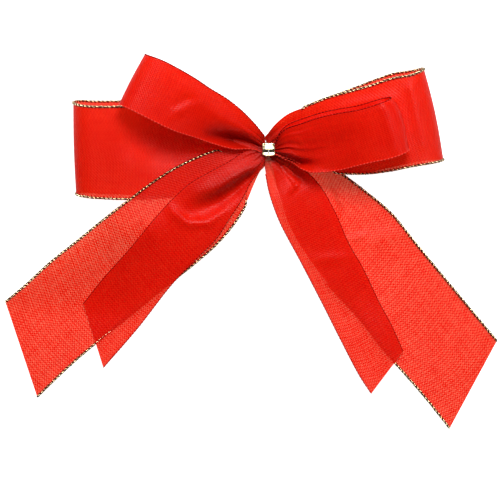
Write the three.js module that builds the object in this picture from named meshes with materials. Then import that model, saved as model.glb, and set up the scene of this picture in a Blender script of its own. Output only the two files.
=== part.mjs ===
// Pre-made gift bow: a wide ribbon with gold selvedges and a narrower ribbon on top of it,
// both folded into a left loop, a right loop and two tails, and gathered by a gold foil tie.
// Millimetres. +X to the right, +Y up as the bow is worn, +Z out of its front.
// The origin is behind the knot, on the plane that the bow's back lies on.
import * as THREE from "three";
import { mergeVertices } from "three/addons/utils/BufferGeometryUtils.js";

// ---------------------------------------------------------------- driving dimensions
const RIBBON_T = 0.4; // thickness given to each ribbon layer
const YARN = 0.7; // side of a gold selvedge yarn
const GAP = 0.3; // clearance between pieces that touch
const WIDE_INSET = YARN + GAP; // ribbon edge to the outside of its yarn
const TIE_W = 5.6; // foil tie, along X
const TIE_Y = 3.05; // foil tie, half size along Y
const TIE_TOP = 8.4; // foil tie, front
const TIE_T = 0.4; // foil tie, thickness
const WIRE = 0.5; // wire core of the tie
const GATHER_X = 3.2; // half length of the gathered ribbon inside the tie
const LAYER = 1.4; // from one ribbon layer to the next where they lie on each other
const FLOOR_Z = 0.25; // middle of a ribbon that lies on the back plane
const BEND_NARROW_LEFT = 0.3; // where the narrow left tail bends, as a share of its length
const BEND_NARROW_RIGHT = 0.28; // the same for the right one

// Outer edge lines in plan, [x, y], from the knot outwards. a is the upper or outer edge, b the other.
const EDGES = {
  wide_loop_left: {
    a: [[-4.5, 2.3], [-10, 9.5], [-18, 14.3], [-30, 17.6], [-45, 19.0], [-65, 19.4], [-83.7, 19.7]],
    b: [[-4.5, -2.3], [-10, -9.2], [-18, -14.2], [-30, -17.8], [-45, -19.8], [-65, -20.6], [-82.2, -19.7]],
  },
  wide_loop_right: {
    a: [[4.5, 2.3], [6, 8], [9, 14], [16.7, 18.5], [26.1, 22.3], [35.9, 25.2], [44.2, 27.8], [55.1, 31.3], [66.9, 34.0]],
    b: [[4.5, -2.3], [12, -8.0], [20, -10], [29.3, -10], [41.4, -10.1], [52.4, -8.8], [63.4, -6.6], [74.6, -4.9]],
  },
  narrow_loop_left: {
    a: [[-3.9, 3.6], [-6.7, 10.6], [-11.9, 16.4], [-17.7, 21.2], [-25.2, 26.0], [-32.1, 30.4], [-40.1, 35.0], [-45.9, 38.0], [-52.5, 40.5]],
    b: [[-5.0, -1.0], [-9, 0.0], [-14.8, 0.2], [-20.6, 1.6], [-26.3, 3.4], [-32.1, 5.4], [-40.7, 8.2], [-49.4, 12.3], [-58.6, 16.9], [-63.5, 19.2]],
  },
  narrow_loop_right: {
    a: [[4.6, 2.9], [8, 8.2], [14, 11], [19.5, 14.3], [24.9, 16.5], [33.2, 19.2], [41.4, 20.9], [49.6, 21.9], [54.6, 22.5]],
    b: [[5.0, -1.6], [10.2, -5.5], [14, -8.0], [18.4, -9.6], [22.2, -9.8], [30.5, -8.8], [38.7, -6.8], [44.2, -5.5], [52.4, -3.8], [60.9, -0.6]],
  },
  wide_tail_left: {
    a: [[-5.2, 0.0], [-12, 0.4], [-20.6, -0.1], [-32.1, -4.4], [-41.4, -9.1], [-49.4, -14.2], [-59.9, -22.1], [-71.1, -30.6], [-82.1, -39.5], [-93.2, -48.3], [-105.8, -59.8], [-113.1, -65.8]],
    b: [[-1.6, -5.2], [-4.6, -10.5], [-6.6, -15.8], [-10.3, -24.6], [-15.5, -32.8], [-22.9, -40.9], [-31.8, -48.7], [-47, -60.8], [-61, -72.2], [-75.5, -83.9], [-87.4, -94.3], [-99.6, -106.1]],
  },
  narrow_tail_left: {
    a: [[-5.2, -0.6], [-10.2, -1.4], [-17, -5.4], [-26.6, -10.6], [-34, -15], [-41.4, -21.7], [-48.8, -29.8], [-59.9, -43.2], [-71.1, -55.8], [-79.6, -66.5]],
    b: [[-1.6, -5.2], [-4.6, -10], [-7.4, -14], [-11.8, -21.7], [-17, -29.8], [-22.9, -38.7], [-30.3, -46.1], [-41.4, -57.6], [-56.2, -76.5], [-71.1, -93.7]],
  },
  wide_tail_right: {
    a: [[5.2, -1.4], [14, -3], [22, -5.8], [30.4, -10.2], [42.3, -19], [52.6, -27.7], [63, -40.5], [74.9, -54.8], [86.8, -69.1], [98.1, -82.6]],
    b: [[0.4, -5.2], [2.2, -12], [5.5, -22], [9.7, -34.1], [23.2, -54.8], [39.1, -72.3], [49.5, -85.8], [53.4, -90.2], [67, -105.7], [78.1, -119.6]],
  },
  narrow_tail_right: {
    a: [[5.0, -2.6], [10, -6.4], [18.5, -11.8], [23.2, -17.4], [28.8, -27.7], [34.4, -40.5], [40.7, -51.6], [47.1, -65.1], [52.6, -75.4], [57.8, -87]],
    b: [[-0.2, -5.2], [-1.0, -10], [0.6, -19], [4.9, -30.9], [13.7, -47.6], [23.2, -65.9], [31.2, -81.8], [39.1, -96.9], [44.3, -104.9]],
  },
};

// ---------------------------------------------------------------- heights
// Smooth curve through [x, y] points that never overshoots them.
function curve(points) {
  const n = points.length,
    d = [],
    m = [];
  for (let i = 0; i < n - 1; i++)
    d.push((points[i + 1][1] - points[i][1]) / (points[i + 1][0] - points[i][0]));
  for (let i = 0; i < n; i++)
    m.push(i === 0 ? d[0] : i === n - 1 ? d[n - 2] : d[i - 1] * d[i] <= 0 ? 0 : (2 * d[i - 1] * d[i]) / (d[i - 1] + d[i]));
  return (x) => {
    if (x <= points[0][0]) return points[0][1];
    if (x >= points[n - 1][0]) return points[n - 1][1];
    let i = 0;
    while (x > points[i + 1][0]) i++;
    const h = points[i + 1][0] - points[i][0],
      t = (x - points[i][0]) / h;
    return (
      (1 + 2 * t) * (1 - t) ** 2 * points[i][1] +
      t * (1 - t) ** 2 * h * m[i] +
      t * t * (3 - 2 * t) * points[i + 1][1] +
      t * t * (t - 1) * h * m[i + 1]
    );
  };
}
const smooth = (t) => {
  const c = Math.min(1, Math.max(0, t));
  return c * c * (3 - 2 * c);
};

// Distance from the knot to height, for each layer of each loop.
const LOOP_Z = {
  wide_loop_left: {
    back: curve([[5, 2.4], [14, 2.4], [24, 0.75], [90, 0.75]]),
    front: curve([[5, 3.3], [20, 6.6], [40, 11.4], [58, 14.8], [70, 15.4], [90, 15.4]]),
    low: 0.7, // height of the b edge as a share of the a edge's
  },
  wide_loop_right: {
    back: curve([[5, 4.3], [30, 3.9], [50, 2.6], [68, 0.9], [90, 0.9]]),
    front: curve([[5, 5.2], [20, 8.2], [40, 12.2], [56, 14.8], [66, 15.4], [90, 15.4]]),
    low: 1,
  },
  narrow_loop_left: {
    back: curve([[5, 6.8], [12, 8.8], [20, 10.6], [40, 14.4], [56, 17.3], [80, 17.4]]),
    front: curve([[5, 7.7], [14, 13], [30, 20.5], [46, 26.5], [60, 28.6], [80, 28.6]]),
    low: 1,
  },
  narrow_loop_right: {
    back: curve([[5, 6.2], [12, 8.4], [20, 10.2], [40, 14.4], [52, 16.8], [80, 17.2]]),
    front: curve([[5, 7.0], [14, 12.6], [28, 19.5], [42, 25.5], [54, 27.6], [80, 27.6]]),
    low: 1,
  },
};
// The front of the wide left loop, and what lies over it and drapes down past its lower edge.
function wideLeftFront(x, y) {
  const L = LOOP_Z.wide_loop_left,
    s = -x,
    share = THREE.MathUtils.clamp(0.5 + y / 40, 0, 1);
  const b = L.back(s);
  return b + (L.front(s) - b) * (L.low + (1 - L.low) * share);
}
const DRAPE = 30; // how far past the loop's edge the left tails come down to the back plane
function wideTailLeftZ(x, y) {
  const edge = -THREE.MathUtils.clamp(2.3 + (-x - 4.5) * 0.7, 2.3, 20.6);
  const past = Math.max(0, edge - y);
  return FLOOR_Z + (wideLeftFront(x, y) + 1.3) * (1 - smooth(past / DRAPE));
}
const tailRightZ = curve([[5, 2.1], [15, 1.1], [28, FLOOR_Z], [200, FLOOR_Z]]);
const TAIL_Z = {
  wide_tail_left: wideTailLeftZ,
  narrow_tail_left: (x, y) => wideTailLeftZ(x, y) + LAYER,
  wide_tail_right: (x, y) => tailRightZ(Math.hypot(x, y)),
  narrow_tail_right: (x, y) => tailRightZ(Math.hypot(x, y)) + LAYER,
};

// ---------------------------------------------------------------- strips
// A point at share t of the way along a line of points.
function along(line, t) {
  const cum = [0];
  for (let i = 1; i < line.length; i++)
    cum.push(cum[i - 1] + Math.hypot(line[i][0] - line[i - 1][0], line[i][1] - line[i - 1][1]));
  const want = Math.min(1, Math.max(0, t)) * cum[cum.length - 1];
  let i = 1;
  while (i < line.length - 1 && cum[i] < want) i++;
  const f = (want - cum[i - 1]) / (cum[i] - cum[i - 1]);
  return [0, 1].map((k) => line[i - 1][k] + (line[i][k] - line[i - 1][k]) * f);
}
// The two ends of the ribbon's width at share t, moved in by inset on each side, less near the knot.
function across(name, t, inset) {
  const a = along(EDGES[name].a, t),
    b = along(EDGES[name].b, t),
    w = Math.hypot(a[0] - b[0], a[1] - b[1]),
    k = Math.min(inset, w * 0.14) / w;
  return [
    [a[0] + (b[0] - a[0]) * k, a[1] + (b[1] - a[1]) * k],
    [b[0] + (a[0] - b[0]) * k, b[1] + (a[1] - b[1]) * k],
  ];
}
const lerp2 = (p, q, f) => [p[0] + (q[0] - p[0]) * f, p[1] + (q[1] - p[1]) * f];

// The profile of a loop from its back layer round the fold to its front layer: share along, and height as a function of side.
function loopProfile(name, steps, foldSteps) {
  const L = LOOP_Z[name],
    e = EDGES[name],
    far = Math.hypot(
      (e.a[e.a.length - 1][0] + e.b[e.b.length - 1][0]) / 2,
      (e.a[e.a.length - 1][1] + e.b[e.b.length - 1][1]) / 2,
    );
  const half = (L.front(far) - L.back(far)) / 2,
    turn = 1 - half / far; // the share at which the fold begins
  const rows = [];
  const height = (layer, t, side) => {
    const r = 5 + (far - 5) * t,
      low = L.low + (1 - L.low) * (1 - side),
      b = L.back(r);
    return layer < 0 ? b : b + (L.front(r) - b) * low;
  };
  for (let i = 0; i <= steps; i++) {
    const t = (turn * i) / steps;
    rows.push({ t, z: (side) => height(-1, t, side) });
  }
  for (let i = 1; i < foldSteps; i++) {
    const phi = (Math.PI * i) / foldSteps;
    rows.push({
      t: turn + (1 - turn) * Math.sin(phi),
      z: (side) => {
        const lo = height(-1, turn, side),
          hi = height(1, turn, side);
        return (lo + hi) / 2 - ((hi - lo) / 2) * Math.cos(phi);
      },
    });
  }
  for (let i = steps; i >= 0; i--) {
    const t = (turn * i) / steps;
    rows.push({ t, z: (side) => height(1, t, side) });
  }
  return rows;
}
// Grid of points of a loop's middle surface: one row of columns for each station.
function loopGrid(name, inset, columns, steps, foldSteps) {
  return loopProfile(name, steps, foldSteps).map(({ t, z }) => {
    const [a, b] = across(name, t, inset);
    return Array.from({ length: columns + 1 }, (_, j) => {
      const f = j / columns,
        p = lerp2(a, b, f);
      return new THREE.Vector3(p[0], p[1], z(f));
    });
  });
}
function tailGrid(name, inset, columns, steps, from = 0, to = 1) {
  return Array.from({ length: steps + 1 }, (_, i) => {
    const [a, b] = across(name, from + ((to - from) * i) / steps, inset);
    return Array.from({ length: columns + 1 }, (_, j) => {
      const p = lerp2(a, b, j / columns);
      return new THREE.Vector3(p[0], p[1], TAIL_Z[name](p[0], p[1]));
    });
  });
}
// A closed solid of thickness t around a grid of points.
function sheetSolid(grid, t) {
  const n = grid.length,
    m = grid[0].length,
    normal = (i, j) => {
      const u = grid[Math.min(n - 1, i + 1)][j].clone().sub(grid[Math.max(0, i - 1)][j]),
        v = grid[i][Math.min(m - 1, j + 1)].clone().sub(grid[i][Math.max(0, j - 1)]);
      return u.cross(v).normalize();
    };
  const pos = [],
    idx = [],
    id = (side, i, j) => side * n * m + i * m + j;
  for (const side of [1, -1])
    for (let i = 0; i < n; i++)
      for (let j = 0; j < m; j++) {
        const p = grid[i][j].clone().addScaledVector(normal(i, j), (side * t) / 2);
        pos.push(p.x, p.y, p.z);
      }
  const quad = (a, b, c, d) => idx.push(a, b, c, a, c, d);
  for (let i = 0; i < n - 1; i++)
    for (let j = 0; j < m - 1; j++) {
      quad(id(0, i, j), id(0, i + 1, j), id(0, i + 1, j + 1), id(0, i, j + 1));
      quad(id(1, i, j), id(1, i, j + 1), id(1, i + 1, j + 1), id(1, i + 1, j));
    }
  for (let i = 0; i < n - 1; i++) {
    quad(id(0, i, 0), id(1, i, 0), id(1, i + 1, 0), id(0, i + 1, 0));
    quad(id(0, i, m - 1), id(0, i + 1, m - 1), id(1, i + 1, m - 1), id(1, i, m - 1));
  }
  for (let j = 0; j < m - 1; j++) {
    quad(id(0, 0, j), id(0, 0, j + 1), id(1, 0, j + 1), id(1, 0, j));
    quad(id(0, n - 1, j), id(1, n - 1, j), id(1, n - 1, j + 1), id(0, n - 1, j + 1));
  }
  return closed(pos, idx);
}
function closed(pos, idx) {
  const g = new THREE.BufferGeometry();
  g.setAttribute("position", new THREE.Float32BufferAttribute(pos, 3));
  g.setIndex(idx);
  let v = 0;
  const p = (k) => new THREE.Vector3().fromArray(pos, 3 * k);
  for (let i = 0; i < idx.length; i += 3) v += p(idx[i]).dot(p(idx[i + 1]).cross(p(idx[i + 2])));
  if (v < 0) for (let i = 0; i < idx.length; i += 3) [idx[i + 1], idx[i + 2]] = [idx[i + 2], idx[i + 1]];
  g.setIndex(idx);
  g.computeVertexNormals();
  return g;
}
// A bar of square section that runs beside one edge of a grid, GAP away from it.
function edgeYarn(grid, side, from = 0) {
  const rows = grid.slice(from, grid.length - from),
    m = grid[0].length,
    e = side > 0 ? 0 : m - 1,
    k = side > 0 ? 1 : m - 2;
  const centre = rows.map((row) => {
    const out = row[e].clone().sub(row[k]).normalize();
    return row[e].clone().addScaledVector(out, GAP + YARN / 2);
  });
  const pos = [],
    idx = [],
    n = centre.length;
  rows.forEach((row, i) => {
    const out = row[e].clone().sub(row[k]).normalize(),
      fwd = centre[Math.min(n - 1, i + 1)].clone().sub(centre[Math.max(0, i - 1)]).normalize(),
      up = out.clone().cross(fwd).normalize(),
      side2 = fwd.clone().cross(up).normalize(),
      c = centre[i].clone();
    c.z = Math.max(c.z, YARN / 2 + 0.12);
    for (const [a, b] of [[1, 1], [-1, 1], [-1, -1], [1, -1]]) {
      const p = c.clone().addScaledVector(side2, (a * YARN) / 2).addScaledVector(up, (b * YARN) / 2);
      pos.push(p.x, p.y, p.z);
    }
  });
  for (let i = 0; i < n - 1; i++)
    for (let j = 0; j < 4; j++) {
      const a = i * 4 + j,
        b = i * 4 + ((j + 1) % 4);
      idx.push(a, b, b + 4, a, b + 4, a + 4);
    }
  idx.push(0, 2, 1, 0, 3, 2);
  const q = (n - 1) * 4;
  idx.push(q, q + 1, q + 2, q, q + 2, q + 3);
  return closed(pos, idx);
}
// A bar along X whose rounded-rectangle section changes: stations of [x, halfY, zLow, zHigh, corner].
function bar(stations, corners = 2) {
  const pos = [],
    idx = [];
  const ring = ([x, hy, z0, z1, c]) => {
    const out = [];
    const centres = [
      [hy - c, z1 - c, 0],
      [-(hy - c), z1 - c, Math.PI / 2],
      [-(hy - c), z0 + c, Math.PI],
      [hy - c, z0 + c, (3 * Math.PI) / 2],
    ];
    for (const [y, z, a0] of centres)
      for (let i = 0; i <= corners; i++) {
        const a = a0 + ((Math.PI / 2) * i) / corners;
        out.push([x, y + c * Math.cos(a), z + c * Math.sin(a)]);
      }
    return out;
  };
  const k = 4 * (corners + 1);
  for (const s of stations) for (const p of ring(s)) pos.push(...p);
  const n = stations.length;
  for (let i = 0; i < n - 1; i++)
    for (let j = 0; j < k; j++) {
      const a = i * k + j,
        b = i * k + ((j + 1) % k);
      idx.push(a, a + k, b + k, a, b + k, b);
    }
  for (let j = 1; j < k - 1; j++) {
    idx.push(0, j, j + 1);
    idx.push((n - 1) * k, (n - 1) * k + j + 1, (n - 1) * k + j);
  }
  return closed(pos, idx);
}
// A closed band round the X axis: outer and inner rounded rectangles, extruded along X.
function band(width, hy, z0, z1, c, t) {
  const outline = (Path, hy, z0, z1, c) => {
    const p = new Path();
    p.moveTo(-hy + c, z0);
    p.lineTo(hy - c, z0);
    p.quadraticCurveTo(hy, z0, hy, z0 + c);
    p.lineTo(hy, z1 - c);
    p.quadraticCurveTo(hy, z1, hy - c, z1);
    p.lineTo(-hy + c, z1);
    p.quadraticCurveTo(-hy, z1, -hy, z1 - c);
    p.lineTo(-hy, z0 + c);
    p.quadraticCurveTo(-hy, z0, -hy + c, z0);
    return p;
  };
  const shape = outline(THREE.Shape, hy, z0, z1, c);
  shape.holes.push(outline(THREE.Path, hy - t, z0 + t, z1 - t, Math.max(0.3, c - t)));
  const g = new THREE.ExtrudeGeometry(shape, { depth: width, bevelEnabled: false, curveSegments: 4, steps: 1 });
  g.translate(0, 0, -width / 2);
  // shape x -> Y, shape y -> Z, depth -> X
  g.applyMatrix4(new THREE.Matrix4().set(0, 0, 1, 0, 1, 0, 0, 0, 0, 1, 0, 0, 0, 0, 0, 1));
  g.deleteAttribute("normal");
  g.deleteAttribute("uv");
  const m = mergeVertices(g, 1e-4);
  m.computeVertexNormals();
  return m;
}

// ---------------------------------------------------------------- materials
const red = new THREE.MeshStandardMaterial({ color: 0xd5160b, roughness: 0.42, metalness: 0, side: THREE.FrontSide });
const brightRed = new THREE.MeshStandardMaterial({ color: 0xe12412, roughness: 0.38, metalness: 0 });
const gold = new THREE.MeshStandardMaterial({ color: 0xc9a24e, roughness: 0.3, metalness: 1 });
const foil = new THREE.MeshStandardMaterial({ color: 0xe6dcae, roughness: 0.2, metalness: 1 });
const steel = new THREE.MeshStandardMaterial({ color: 0x9a9a96, roughness: 0.35, metalness: 1 });

// ---------------------------------------------------------------- the bow
const bow = new THREE.Group();
const add = (name, geometry, material) => {
  const mesh = new THREE.Mesh(geometry, material);
  mesh.name = name;
  bow.add(mesh);
  return mesh;
};

for (const name of ["wide_loop_left", "wide_loop_right"]) {
  const grid = loopGrid(name, WIDE_INSET, 3, 9, 8);
  add(name, sheetSolid(grid, RIBBON_T), red);
  add(name + "_gold_edge_upper", edgeYarn(grid, 1, 1), gold);
  add(name + "_gold_edge_lower", edgeYarn(grid, -1, 1), gold);
}
for (const name of ["narrow_loop_left", "narrow_loop_right"])
  add(name, sheetSolid(loopGrid(name, 0.1, 3, 9, 8), RIBBON_T), brightRed);

for (const name of ["wide_tail_left", "wide_tail_right"]) {
  const grid = tailGrid(name, WIDE_INSET, 5, 16);
  add(name, sheetSolid(grid, RIBBON_T), red);
  add(name + "_gold_edge_outer", edgeYarn(grid.slice(1), 1), gold);
  add(name + "_gold_edge_inner", edgeYarn(grid.slice(1), -1), gold);
}
for (const [name, bend] of [
  ["narrow_tail_left", BEND_NARROW_LEFT],
  ["narrow_tail_right", BEND_NARROW_RIGHT],
]) {
  add(name + "_upper", sheetSolid(tailGrid(name, 0.1, 3, 5, 0, bend - 0.004), RIBBON_T), brightRed);
  add(name, sheetSolid(tailGrid(name, 0.1, 3, 10, bend + 0.004, 1), RIBBON_T), brightRed);
}

// Ribbons squeezed together inside the tie. Each has a waist where the tie's wire presses in.
const WAIST = WIRE / 2 + GAP,
  FULL_Y = TIE_Y - TIE_T - GAP,
  WAIST_Y = FULL_Y - WIRE - GAP + 0.1;
const Z0 = TIE_T + GAP,
  Z1 = TIE_TOP - TIE_T - GAP,
  MID = 0.6 * Z1 + 0.4 * Z0;
const inZ = WIRE + GAP - 0.1;
add(
  "wide_ribbon_gather",
  bar([
    [-GATHER_X, FULL_Y, Z0, MID - GAP / 2, 0.5],
    [-WAIST - 0.4, FULL_Y, Z0, MID - GAP / 2, 0.5],
    [-WAIST, WAIST_Y, Z0 + inZ, MID - GAP / 2, 0.4],
    [WAIST, WAIST_Y, Z0 + inZ, MID - GAP / 2, 0.4],
    [WAIST + 0.4, FULL_Y, Z0, MID - GAP / 2, 0.5],
    [GATHER_X, FULL_Y, Z0, MID - GAP / 2, 0.5],
  ]),
  red,
);
add(
  "narrow_ribbon_gather",
  bar([
    [-GATHER_X, FULL_Y, MID + GAP / 2, Z1, 0.5],
    [-WAIST - 0.4, FULL_Y, MID + GAP / 2, Z1, 0.5],
    [-WAIST, WAIST_Y, MID + GAP / 2, Z1 - inZ, 0.4],
    [WAIST, WAIST_Y, MID + GAP / 2, Z1 - inZ, 0.4],
    [WAIST + 0.4, FULL_Y, MID + GAP / 2, Z1, 0.5],
    [GATHER_X, FULL_Y, MID + GAP / 2, Z1, 0.5],
  ]),
  brightRed,
);
add("tie_foil_band", band(TIE_W, TIE_Y, 0, TIE_TOP, 1.2, TIE_T), foil);
add("tie_wire_core", band(WIRE, TIE_Y - TIE_T - GAP + 0.1, TIE_T + GAP - 0.1, TIE_TOP - TIE_T - GAP + 0.1, 0.9, WIRE), steel);
// The tie's two ends, twisted together and pressed flat behind the left loop.
const twist = [];
for (let i = 0; i <= 6; i++) {
  const x = -GATHER_X - GAP - i * 1.5,
    h = i % 2 ? 0.75 : 0.95;
  twist.push([x, h, 0.15, 0.15 + (i % 2 ? 1.45 : 1.25), 0.35]);
}
add("tie_twisted_ends", bar(twist), foil);

export default bow;
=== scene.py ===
import math

import bpy
import numpy as np
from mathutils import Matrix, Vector


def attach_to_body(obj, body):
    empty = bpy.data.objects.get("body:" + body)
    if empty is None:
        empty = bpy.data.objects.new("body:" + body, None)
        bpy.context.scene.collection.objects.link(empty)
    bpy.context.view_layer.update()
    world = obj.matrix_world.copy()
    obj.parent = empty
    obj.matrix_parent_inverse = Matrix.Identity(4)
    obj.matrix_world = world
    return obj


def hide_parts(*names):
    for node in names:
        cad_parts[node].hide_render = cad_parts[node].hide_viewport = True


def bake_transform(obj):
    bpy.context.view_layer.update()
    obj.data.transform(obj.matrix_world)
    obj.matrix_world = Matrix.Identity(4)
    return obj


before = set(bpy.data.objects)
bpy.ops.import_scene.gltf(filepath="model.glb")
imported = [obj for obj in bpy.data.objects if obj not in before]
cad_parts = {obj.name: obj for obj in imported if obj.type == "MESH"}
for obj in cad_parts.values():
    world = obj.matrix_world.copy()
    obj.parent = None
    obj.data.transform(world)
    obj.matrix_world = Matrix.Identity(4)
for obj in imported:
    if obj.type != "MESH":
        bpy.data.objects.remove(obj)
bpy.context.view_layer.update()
MM = 0.001
rng = np.random.default_rng(7)

# ------------------------------------------------------------------ camera
CAM_X, CAM_Y, CAM_D = -7.957, -43.225, 1500.0  # mm
FIELD = 215.05  # mm across the picture on the plane z = 0


def at(x, y, z):
    """Plan position at height z that lines up with (x, y) on the plane z = 0 for the camera."""
    k = 1 - z / CAM_D
    return CAM_X + (x - CAM_X) * k, CAM_Y + (y - CAM_Y) * k


# ------------------------------------------------------------------ curves
def pchip(points):
    """Smooth curve through (x, y...) rows that never overshoots them."""
    p = np.array(points, float)
    x, y = p[:, 0], p[:, 1:]
    h = np.diff(x)[:, None]
    d = np.diff(y, axis=0) / h
    m = np.zeros_like(y)
    m[0], m[-1] = d[0], d[-1]
    for i in range(1, len(x) - 1):
        same = d[i - 1] * d[i] > 0
        m[i] = np.where(same, 2 * d[i - 1] * d[i] / np.where(same, d[i - 1] + d[i], 1), 0)

    def f(q):
        q = np.clip(np.asarray(q, float), x[0], x[-1])
        i = np.clip(np.searchsorted(x, q, side="right") - 1, 0, len(x) - 2)
        t = ((q - x[i]) / h[i, 0])[..., None]
        hh = h[i]
        out = (
            (1 + 2 * t) * (1 - t) ** 2 * y[i]
            + t * (1 - t) ** 2 * hh * m[i]
            + t * t * (3 - 2 * t) * y[i + 1]
            + t * t * (t - 1) * hh * m[i + 1]
        )
        return out[..., 0] if y.shape[1] == 1 else out

    return f


def line(points):
    """Points along a plan line at a share 0..1 of its length, as a smooth Catmull-Rom curve."""
    p = np.array(points, float)
    ext = np.vstack([2 * p[0] - p[1], p, 2 * p[-1] - p[-2]])
    out = []
    for i in range(1, len(ext) - 2):
        a, b, c, d = ext[i - 1 : i + 3]
        ta = 0.0
        tb = ta + max(1e-6, np.linalg.norm(b - a)) ** 0.5
        tc = tb + max(1e-6, np.linalg.norm(c - b)) ** 0.5
        td = tc + max(1e-6, np.linalg.norm(d - c)) ** 0.5
        for t in np.linspace(tb, tc, 24, endpoint=False):
            a1 = (tb - t) / (tb - ta) * a + (t - ta) / (tb - ta) * b
            a2 = (tc - t) / (tc - tb) * b + (t - tb) / (tc - tb) * c
            a3 = (td - t) / (td - tc) * c + (t - tc) / (td - tc) * d
            b1 = (tc - t) / (tc - ta) * a1 + (t - ta) / (tc - ta) * a2
            b2 = (td - t) / (td - tb) * a2 + (t - tb) / (td - tb) * a3
            out.append((tc - t) / (tc - tb) * b1 + (t - tb) / (tc - tb) * b2)
    out.append(p[-1])
    out = np.array(out)
    cum = np.concatenate([[0], np.cumsum(np.linalg.norm(np.diff(out, axis=0), axis=1))])
    cum /= cum[-1]

    def f(q):
        q = np.clip(np.asarray(q, float), 0, 1)
        return np.stack([np.interp(q, cum, out[:, k]) for k in range(2)], -1)

    return f


def smooth(t):
    t = np.clip(t, 0, 1)
    return t * t * (3 - 2 * t)


# ------------------------------------------------------------------ the ribbons' edge lines in plan, mm
# a is the upper or outer edge of each piece, b the other; both start inside the tie.
EDGES = {
    "wide_loop_left": {
        "a": [[-0.3, 1.6], [-2.8, 2.0], [-5.5, 4.6], [-10, 9.5], [-18, 14.3], [-30, 17.4], [-45, 18.3], [-65, 18.1], [-75, 18.1], [-84.0, 18.7]],
        "b": [[-0.3, -1.6], [-2.8, -2.0], [-5.5, -4.4], [-10, -9.2], [-18, -14.4], [-30, -18.4], [-45, -20.4], [-60, -21.0], [-72.4, -20.6], [-82.8, -19.8]],
        "bulge": (0.35, 1.0),
        "shift": 2.3,  # how far the back layer's edge stands above the front layer's, mm
    },
    "wide_loop_right": {
        "a": [[0.3, 1.2], [-0.6, 2.6], [-1.7, 5.2], [-0.6, 6.6], [3, 11.0], [8.5, 15.4], [16.7, 18.6], [26.1, 22.2], [35.9, 24.8], [44.2, 27.2], [54.0, 30.4], [60.9, 31.5], [67.0, 33.4]],
        "b": [[0.3, -1.4], [2.8, -1.7], [6.5, -3.0], [12, -5.6], [20, -8.4], [27, -9.7], [32, -10.0], [41.4, -10.1], [52.4, -8.8], [63.4, -6.6], [75.2, -4.9]],
        "bulge": (0.75, 1.0),
        "shift": 1.9,
        "shift_from": 0.45,
    },
    "narrow_loop_left": {
        "a": [[-0.3, 1.6], [-1.6, 3.0], [-1.7, 5.4], [-3.3, 7.7], [-6.7, 11.7], [-11.9, 16.9], [-17.7, 21.5], [-25.2, 26.1], [-32.1, 30.7], [-40.1, 35.3], [-45.9, 38.2], [-53.3, 40.9]],
        "b": [[-0.3, -1.2], [-2.8, -1.3], [-5.4, -0.2], [-9, 0.3], [-14.8, 0.2], [-20.6, 1.6], [-26.3, 3.4], [-32.1, 5.4], [-40.7, 8.2], [-49.4, 12.3], [-58.6, 16.9], [-64.4, 19.5]],
        "bulge": (0.3, 1.0),
        "shift": 0.0,
    },
    "narrow_loop_right": {
        "a": [[0.3, 1.6], [2.8, 2.6], [4.6, 6.0], [7.6, 8.7], [14, 10.9], [22.2, 13.6], [30.5, 15.4], [38.7, 16.8], [47, 19.3], [52.9, 21.2]],
        "b": [[0.3, -1.6], [2.8, -2.0], [6.8, -4.1], [10.2, -5.5], [14, -8.2], [18.4, -9.8], [22.2, -9.8], [30.5, -8.8], [38.7, -6.8], [44.2, -5.5], [52.4, -3.8], [60.5, -1.0]],
        "bulge": (1.9, 0.62),
        "shift": 1.9,
    },
    "wide_tail_left": {
        "a": [[-0.3, 1.6], [-2.8, 1.4], [-8, 1.2], [-14, 0.8], [-20.6, -0.1], [-32.1, -4.4], [-41.4, -9.1], [-49.4, -14.2], [-54.0, -17.6], [-59.9, -22.1], [-71.1, -30.6], [-82.1, -39.5], [-93.2, -48.3], [-105.8, -59.8], [-113.1, -65.8]],
        "b": [[0.2, -1.6], [-1.2, -3.4], [-1.4, -5.6], [-1.9, -7.6], [-3.6, -9.4], [-6.6, -15.8], [-10.3, -24.4], [-15.3, -32.2], [-22.4, -40.4], [-31.8, -48.7], [-47, -60.8], [-61, -72.2], [-75.5, -83.9], [-87.4, -94.3], [-99.6, -106.1]],
    },
    "narrow_tail_left": {
        "a": [[-1.2, 0.9], [-2.8, 0.7], [-6, -0.1], [-10.2, -1.0], [-17, -5.4], [-26.6, -10.6], [-34, -15], [-41.4, -21.7], [-48.8, -29.8], [-59.9, -43.2], [-71.1, -55.8], [-79.6, -66.5]],
        "b": [[-1.0, -1.4], [-1.5, -3.2], [-1.9, -5.6], [-2.9, -7.6], [-7.4, -13.5], [-11.8, -21.7], [-17, -29.8], [-22.9, -38.7], [-30.3, -46.1], [-41.4, -57.6], [-56.2, -76.5], [-71.1, -93.7]],
    },
    "wide_tail_right": {
        "a": [[0.3, 1.6], [2.8, 1.4], [8, 0.2], [14, -1.8], [22, -5.4], [30.4, -10.2], [42.3, -19], [52.6, -27.7], [63, -40.5], [74.9, -54.8], [86.8, -69.1], [98.1, -82.6]],
        "b": [[0.3, -1.6], [0.9, -3.6], [1.8, -7.6], [3.2, -14], [5.5, -22], [9.7, -34.1], [23.2, -54.8], [39.1, -72.3], [49.5, -85.8], [53.4, -90.2], [67, -105.7], [78.1, -119.6]],
    },
    "narrow_tail_right": {
        "a": [[1.0, 0.6], [2.8, 0.2], [6.6, -1.8], [12, -6.0], [18.5, -11.8], [23.2, -17.4], [28.8, -27.7], [34.4, -40.5], [40.7, -51.6], [47.1, -65.1], [52.6, -75.4], [57.8, -87]],
        "b": [[0.4, -1.6], [-1.5, -3.4], [-2.0, -5.8], [-1.6, -7.8], [-0.8, -12.4], [0.6, -19], [4.9, -30.9], [13.7, -47.6], [23.2, -65.9], [31.2, -81.8], [39.1, -96.9], [44.3, -104.9]],
    },
}
WIDE, NARROW = 38.2, 25.0  # woven widths; the gold yarns make the wide one 40

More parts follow.
